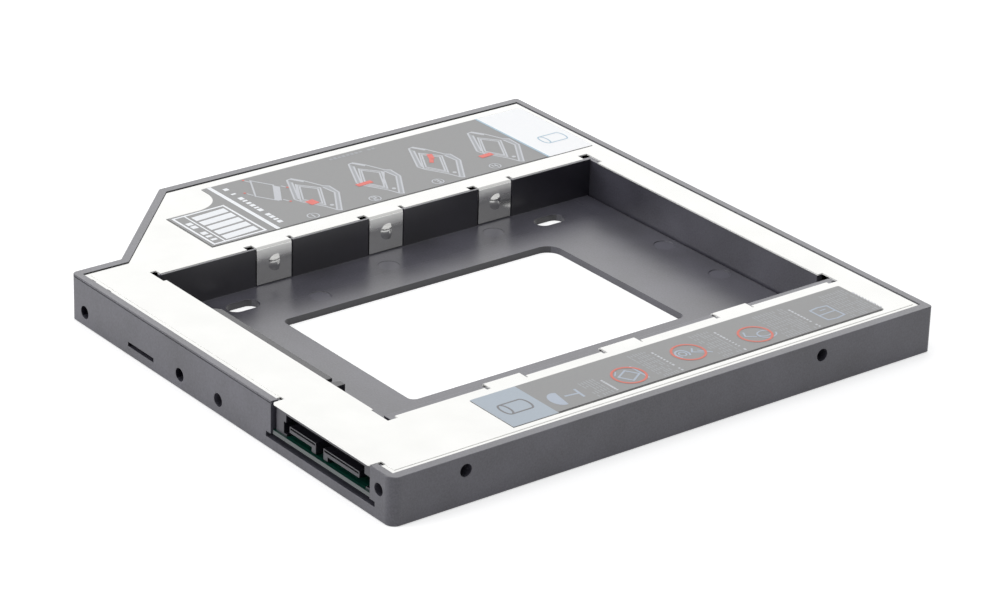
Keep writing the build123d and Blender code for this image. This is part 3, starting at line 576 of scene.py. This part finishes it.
# Small drawing of the notched tray with its open bay, seen from above one corner
guide_sides = Print("guide_print_sides", ink_pale, ink_level - INK_LIFT / 2)
guide_sides.patch([(10.3, 4.3), (10.6, 5.1), (18.3, 0.4), (17.5, -0.2)])
guide_sides.patch([(6.3, 3.7), (6.9, 5.1), (10.6, 5.1), (10.3, 4.3)])
guide_sides.patch([(0.0, 0.0), (1.3, 0.1), (9.3, -3.6), (8.8, -4.4)])
stamp(guide_sides, CADDY_PLACES)
guide_caddies.line([
    (8.8, -4.4), (-0.1, -0.1), (-0.3, 1.1), (2.0, 2.6), (6.2, 4.3), (7.0, 5.3), (10.6, 5.1),
    (18.3, 0.4), (17.8, -0.3), (15.1, -1.3), (10.7, -3.9), (8.8, -4.4)], FINE_LINE)
guide_caddies.line([(-0.2, 0.9), (2.3, 2.4)], HEAVY_LINE)
guide_caddies.line([(1.4, 0.1), (9.2, -3.6)], FINE_LINE)
guide_caddies.line([(6.9, 3.9), (10.3, 4.3), (17.5, -0.2)], FINE_LINE)
guide_caddies.line([(3.0, 0.2), (6.7, 3.3), (14.5, -0.9), (9.9, -3.7)], FINE_LINE, closed=True)
guide_caddies.line([(3.9, 0.2), (6.9, 2.6), (13.5, -0.9), (9.8, -3.0)], FINE_LINE, closed=True)
guide_caddies.patch(arc((15.2, 0.2), (0.45, 0.45), steps=14))
stamp(guide_caddies, CADDY_PLACES)

# Loose frame of the first step, with its slab and four screws
guide_white.line([(-57.5, -9.8), (-53.2, -7.2), (-46.1, -10.8), (-50.3, -13.4)], FINE_LINE, closed=True)
guide_white.patch([(-53.1, -7.4), (-51.7, -6.6), (-45.7, -10.2), (-46.5, -11.4)])
guide_white.line([(-58.1, -10.8), (-56.6, -10.1)], FINE_LINE)
guide_white.line([(-52.0, -6.2), (-50.9, -5.7)], FINE_LINE)
guide_white.line([(-52.4, -14.1), (-50.9, -13.5)], FINE_LINE)
guide_white.line([(-46.0, -9.7), (-44.7, -9.2)], FINE_LINE)
guide_screws = Print("guide_print_screws", ink_red, ink_level + 5 * INK_LIFT)
guide_screws.patch(arc((0, 0), (0.28, 0.28), steps=12))
stamp(guide_screws, [(-58.4, -10.9), (-50.6, -5.5), (-52.8, -14.3), (-44.4, -9.0)])

# Red marks of the steps, as both ends and the width of each
RED_MARKS = (
    ((-41.5, -6.7), (-41.8, -4.7), 2.2),
    ((-43.6, 6.6), (-43.8, 10.4), 1.3),
    ((-49.0, 28.6), (-46.6, 27.6), 1.2),
    ((-46.6, 27.4), (-45.0, 26.3), 0.9),
    ((-41.9, 36.4), (-42.1, 39.6), 1.4),
)
for mark_start, mark_end, mark_width in RED_MARKS:
    guide_red.line([mark_start, mark_end], mark_width)

# Lines of the first two steps only: the frame while it slides in
guide_white.line([(-51.1, -3.2), (-44.4, -6.9)], FINE_LINE)
guide_white.line([(-46.6, 15.4), (-40.2, 10.8)], FINE_LINE)

# Ruled line and block of plain slanted bars at the rear end, and rows of dashes round them
guide_bold = Print("guide_print_bold", ink_bold, ink_level)
guide_bold.line([(guide_low.x + 2 * INSET, -18.75), (guide_high.x - INSET, -18.65)], 0.95)
guide_bold.line([(-50.0, -21.3), (-35.4, -21.1), (-35.2, -33.2), (-49.7, -33.3)], 0.5, closed=True)
guide_bold.line([(-49.6, -30.7), (-35.3, -30.6)], 0.35)
BAR_COUNT, BAR_START, BAR_PITCH, BAR_WIDTH, BAR_SLANT = 5, -48.4, 2.62, 2.0, 0.5
BAR_LOW, BAR_HIGH = -29.9, -22.0
for bar in range(BAR_COUNT):
    start = BAR_START + BAR_PITCH * bar
    guide_bold.patch([
        (start, BAR_LOW), (start + BAR_WIDTH, BAR_LOW),
        (start + BAR_WIDTH - BAR_SLANT, BAR_HIGH), (start - BAR_SLANT, BAR_HIGH)])
small_print("guide_print_title", ink_bold, ink_level + INK_LIFT, (-47.6, -31.95), (-37.2, -31.95),
            7, 1, 1.5, 1.3, 3)
small_print("guide_print_heading", ink_bold, ink_level + INK_LIFT, (-56.4, -16.4), (-37.4, -16.4),
            15, 1, 1.3, 1.1, 7)
small_print("guide_print_remark", ink_pale, ink_level + INK_LIFT, (-57.8, 10.2), (-57.8, 20.8),
            1, 11, 0.95, 0.75, 5)

# Strokes of each step number, in a field one wide and two high
SEGMENTS = {
    1: [((0.5, 0), (0.5, 2))],
    2: [((0, 2), (1, 2), (1, 1), (0, 1), (0, 0), (1, 0))],
    3: [((0, 2), (1, 2), (1, 0), (0, 0)), ((0.2, 1), (1, 1))],
    4: [((0, 2), (0, 1), (1, 1)), ((1, 2), (1, 0))],
}

NUMBER_PLACES = ((-36.0, -9.4), (-36.3, 5.8), (-36.4, 21.5), (-36.5, 36.1))
NUMBER_SIZE = 0.75
NUMBER_LINE = 0.34
NUMBER_RING = 1.2
NUMBER_RING_LINE = 0.26


def step_number(ink, number, middle):
    """A plain step number in a ring, its foot towards the bay."""
    for points in SEGMENTS[number]:
        ink.line([(middle[0] - (y - 1) * NUMBER_SIZE, middle[1] + (x - 0.5) * NUMBER_SIZE)
                  for x, y in points], NUMBER_LINE)
    ink.line(arc(middle, (NUMBER_RING, NUMBER_RING), steps=24), NUMBER_RING_LINE, closed=True)


for number, place in enumerate(NUMBER_PLACES, 1):
    step_number(guide_white, number, place)

# White end of the label, with the outline of a drive
guide_end = Print("guide_print_end", ink_end, ink_level)
guide_end.patch([
    (guide_low.x + INSET, 48.4), (guide_high.x - INSET, 48.5),
    (guide_high.x - INSET, guide_high.y - INSET), (guide_low.x + INSET, guide_high.y - INSET)])
guide_sky.line([(guide_low.x + INSET, 48.3), (guide_high.x - INSET, 48.4)], 0.5)

# How narrow the round ends of the drawn drive look, as a share of their height
ROUND_FORESHORTENING = 0.42


def drawn_drive(ink, centre, length, radius, width):
    """Outline of a round-ended drive lying on its side, its length across the label."""
    flat = radius * ROUND_FORESHORTENING
    near, far = -length / 2, length / 2
    shape = arc((near, 0), (flat, radius), 90, 180, 12) + arc((far, 0), (flat, radius), -90, 180, 12)
    mouth = arc((near, 0), (flat, radius), 90, -180, 12)
    for points in (shape + shape[:1], mouth):
        ink.line(from_to(centre, *[(-y, x) for x, y in points]), width)


drawn_drive(guide_sky, (-42.0, 55.4), 4.4, 1.9, HAIR_LINE)

# Painted shade along the two edges that are seen
edge_x, edge_y = guide_high.x - 2 * INSET, guide_low.y + 2 * INSET
guide_edge_shade.line([(edge_x, edge_y), (edge_x, 48.2)], EDGE_LINE)
guide_edge_shade.line([(-50.4, edge_y), (edge_x, edge_y)], EDGE_LINE)

# Short label: a drive, a stemmed cup, three ringed drawings, an open book and blocks of small print
care_low, care_high = node_box_mm("handling_label")
care_level = care_high.z + INK_LIFT
care_square = Print("handling_print_square", ink_square, care_level)
care_blue = Print("handling_print_blue", ink_blue_grey, care_level + INK_LIFT)
care_rings = Print("handling_print_rings", ink_dull_red, care_level + 4 * INK_LIFT)
care_grey = Print("handling_print_grey", ink_line_grey, care_level + INK_LIFT)
# Painted shade along the label's outer edge
care_edge_shade = Print("handling_print_edge", edge_shade_ink, care_level)

SQUARE_INSET, SQUARE_END = 0.03, -23.7
care_square.patch([
    (care_low.x + SQUARE_INSET, care_low.y + SQUARE_INSET),
    (care_high.x - SQUARE_INSET, care_low.y + SQUARE_INSET),
    (care_high.x - SQUARE_INSET, SQUARE_END), (care_low.x + SQUARE_INSET, SQUARE_END)])
drawn_drive(care_grey, (53.6, -28.6), 4.4, 2.0, 0.42)

# Cup on its stem
care_blue.patch(arc((55.5, -20.3), (2.6, 1.9), 150, 215, 20))
care_blue.line([(55.2, -18.8), (55.6, -16.0)], 0.45)
care_blue.line([(53.9, -15.6), (57.3, -15.9)], 0.5)

# Plain ring, printed three times
RING_RADIUS = 3.2
RING_LINE = 0.48
rings = ((55.0, -3.8), (53.6, 11.4), (54.6, 26.7))
care_rings.line(arc((0, 0), (RING_RADIUS, RING_RADIUS), steps=40), RING_LINE, closed=True)
stamp(care_rings, rings)

# Inside the rings: a tilted drive, a coiled lead with its tool, and a round pad
care_blue.line(from_to(rings[0], (-1.9, 0.5), (0.5, 2.0), (2.1, -0.6), (-0.4, -2.1)), 0.4, closed=True)
care_blue.line(from_to(rings[0], (-2.8, 2.4), (2.8, 2.5)), 0.4)
care_blue.line(from_to(rings[0], (-2.4, -1.2), (-1.2, -2.3)), 0.25)
coil = (rings[1][0], rings[1][1] - 1.4)
care_blue.line(arc(coil, (1.5, 1.3), 40, 280, 20), 0.4)
care_blue.line(arc(coil, (0.8, 0.7), steps=16), HAIR_LINE, closed=True)
care_blue.line(from_to(rings[1], (-1.0, 1.6), (0.3, 0.6), (1.9, 2.9)), 0.35)
care_blue.line(from_to(rings[1], (0.2, 1.9), (2.4, 3.8)), 0.35)
care_blue.line(from_to(rings[2], (-1.8, -1.4), (-0.2, -2.2), (1.0, -0.4)), 0.35)
care_blue.line(arc((rings[2][0] + 0.6, rings[2][1] + 1.7), (1.1, 1.5), steps=20), HAIR_LINE, closed=True)
care_blue.line(arc((rings[2][0] + 1.0, rings[2][1] + 2.0), (1.6, 1.9), -120, 200, 20), HAIR_LINE)

# Open book
book = (55.2, 44.3)
care_blue.line(from_to(book, (-2.9, -0.2), (-2.6, 2.0), (-0.2, 2.0), (2.2, 2.2), (2.6, 0.0),
                       (2.3, -2.0), (0.0, -2.2), (-2.6, -2.2)), 0.4, closed=True)
care_blue.line(from_to(book, (-0.2, 2.0), (0.0, -2.2)), 0.35)
care_blue.line(from_to(book, (-1.6, -0.6), (-1.6, 0.8)), HAIR_LINE)

# Blocks of fine rows between the drawings: centres of the first and last dash, dashes and rows
PRINT_BLOCKS = (
    ((53.0, -13.6), (58.4, -10.4), 5, 6),
    ((49.2, 1.0), (58.6, 4.6), 8, 7),
    ((49.0, 15.8), (58.4, 19.8), 8, 7),
    ((49.2, 31.2), (58.6, 38.0), 8, 11),
    ((49.2, 47.2), (58.6, 53.4), 8, 10),
)
FIRST_SEED = 11
ROW_DASH, ROW_LINE = 1.35, 0.24
HEAD_DASH, HEAD_LINE = 0.7, 0.45
HEAD_INDENT, HEAD_RISE, HEAD_EXTRA = 1.0, 1.1, 3
for seed, (low, high, dashes, rows) in enumerate(PRINT_BLOCKS, FIRST_SEED):
    small_print("handling_print_rows_" + str(seed), ink_pale, care_level, low, high,
                dashes, rows, ROW_DASH, ROW_LINE, seed)
    head_y = high[1] + HEAD_RISE
    small_print("handling_print_head_" + str(seed), ink_white, care_level,
                (low[0] + HEAD_INDENT, head_y), (high[0], head_y),
                dashes + HEAD_EXTRA, 1, HEAD_DASH, HEAD_LINE, seed)

# Painted shade along the label's outer edge
outer_x = care_high.x - 0.15
care_edge_shade.line([(outer_x, -23.6), (outer_x, care_high.y - 0.5)], 0.34)

for ink in (guide_white, guide_bold, guide_red, guide_sky, guide_edge_shade, guide_end,
            care_square, care_blue, care_grey, care_edge_shade):
    ink.finish()


def seen_directly(tree):
    """1 for rays from the camera, or by way of metal and glass, and 0 for light on the object."""
    path = add(tree, "ShaderNodeLightPath")
    shiny = add(tree, "ShaderNodeMath", {0: (path, "Is Camera Ray"), 1: (path, "Is Glossy Ray")},
                operation="MAXIMUM")
    return add(tree, "ShaderNodeMath", {0: (shiny, "Value"), 1: (path, "Is Transmission Ray")},
               operation="MAXIMUM"), "Value"


def studio_floor():
    """Plain pale floor that keeps the shadow."""
    mesh = bpy.data.meshes.new("studio_floor")
    corners = [(x * FLOOR_REACH, y * FLOOR_REACH, 0) for x, y in ((-1, -1), (1, -1), (1, 1), (-1, 1))]
    mesh.from_pydata(corners, [], [(0, 1, 2, 3)])
    material, tree, output, _ = new_material("floor_paper")
    paper = add(tree, "ShaderNodeBsdfDiffuse", {"Color": (FLOOR_ALBEDO,) * 3 + (1.0,)})
    path = add(tree, "ShaderNodeLightPath")
    mirrored = add(tree, "ShaderNodeMath", {0: seen_directly(tree), 1: FLOOR_GLOW}, operation="MULTIPLY")
    lift = add(tree, "ShaderNodeMath", {
        0: (path, "Is Camera Ray"), 1: FLOOR_GLOW_EXTRA, 2: (mirrored, "Value")}, operation="MULTIPLY_ADD")
    pale = add(tree, "ShaderNodeEmission", {"Strength": (lift, "Value")})
    both = add(tree, "ShaderNodeAddShader", {0: (paper, "BSDF"), 1: (pale, "Emission")})
    tree.links.new(both.outputs["Shader"], output.inputs["Surface"])
    mesh.materials.append(material)
    floor = bpy.data.objects.new("studio_floor", mesh)
    bpy.context.scene.collection.objects.link(floor)


def soft_light(name, place, size, radiance):
    """Large rectangular soft box aimed at the middle of the caddy."""
    lamp = bpy.data.lights.new(name, "AREA")
    lamp.shape = "RECTANGLE"
    lamp.size, lamp.size_y = size
    lamp.energy = radiance * math.pi * size[0] * size[1]
    holder = bpy.data.objects.new(name, lamp)
    bpy.context.scene.collection.objects.link(holder)
    turn = (-Vector(place)).to_track_quat("-Z", "Y")
    holder.matrix_world = Matrix.Translation(place) @ turn.to_matrix().to_4x4()
    holder.visible_camera = False


def studio_world(fill):
    """Even fill light; the camera, and what mirrors it, see plain white behind the object."""
    world = bpy.data.worlds.new("studio_world")
    bpy.context.scene.world = world
    world.use_nodes = True
    tree = world.node_tree
    tree.nodes.clear()
    output = add(tree, "ShaderNodeOutputWorld")
    light = add(tree, "ShaderNodeBackground", {"Color": (0.97, 0.98, 1.0, 1.0), "Strength": fill})
    backdrop = add(tree, "ShaderNodeBackground", {"Color": (1.0, 1.0, 1.0, 1.0), "Strength": 1.0})
    mix = add(tree, "ShaderNodeMixShader", {0: seen_directly(tree)})
    tree.links.new(light.outputs["Background"], mix.inputs[1])
    tree.links.new(backdrop.outputs["Background"], mix.inputs[2])
    tree.links.new(mix.outputs["Shader"], output.inputs["Surface"])


def photo_camera():
    """Camera at the photograph's place, from its direction, distance and roll."""
    back = Vector((math.sin(VIEW_AZIMUTH) * math.cos(VIEW_ELEVATION),
                   -math.cos(VIEW_AZIMUTH) * math.cos(VIEW_ELEVATION),
                   math.sin(VIEW_ELEVATION)))
    level = Vector((math.cos(VIEW_AZIMUTH), math.sin(VIEW_AZIMUTH), 0))
    upright = back.cross(level)
    right = level * math.cos(VIEW_ROLL) + upright * math.sin(VIEW_ROLL)
    up = upright * math.cos(VIEW_ROLL) - level * math.sin(VIEW_ROLL)
    lens = bpy.data.cameras.new("photo_camera")
    lens.sensor_width = SENSOR_WIDTH
    lens.lens = LENS
    lens.clip_start = 0.01
    holder = bpy.data.objects.new("photo_camera", lens)
    bpy.context.scene.collection.objects.link(holder)
    eye = VIEW_TARGET + back * VIEW_DISTANCE
    holder.matrix_world = Matrix.Translation(eye) @ Matrix((right, up, back)).transposed().to_4x4()
    bpy.context.scene.camera = holder


studio_floor()
studio_world(WORLD_FILL)
for light_name, box in SOFT_BOXES.items():
    soft_light(light_name, *box)
photo_camera()
bpy.context.scene.view_settings.view_transform = "Standard"
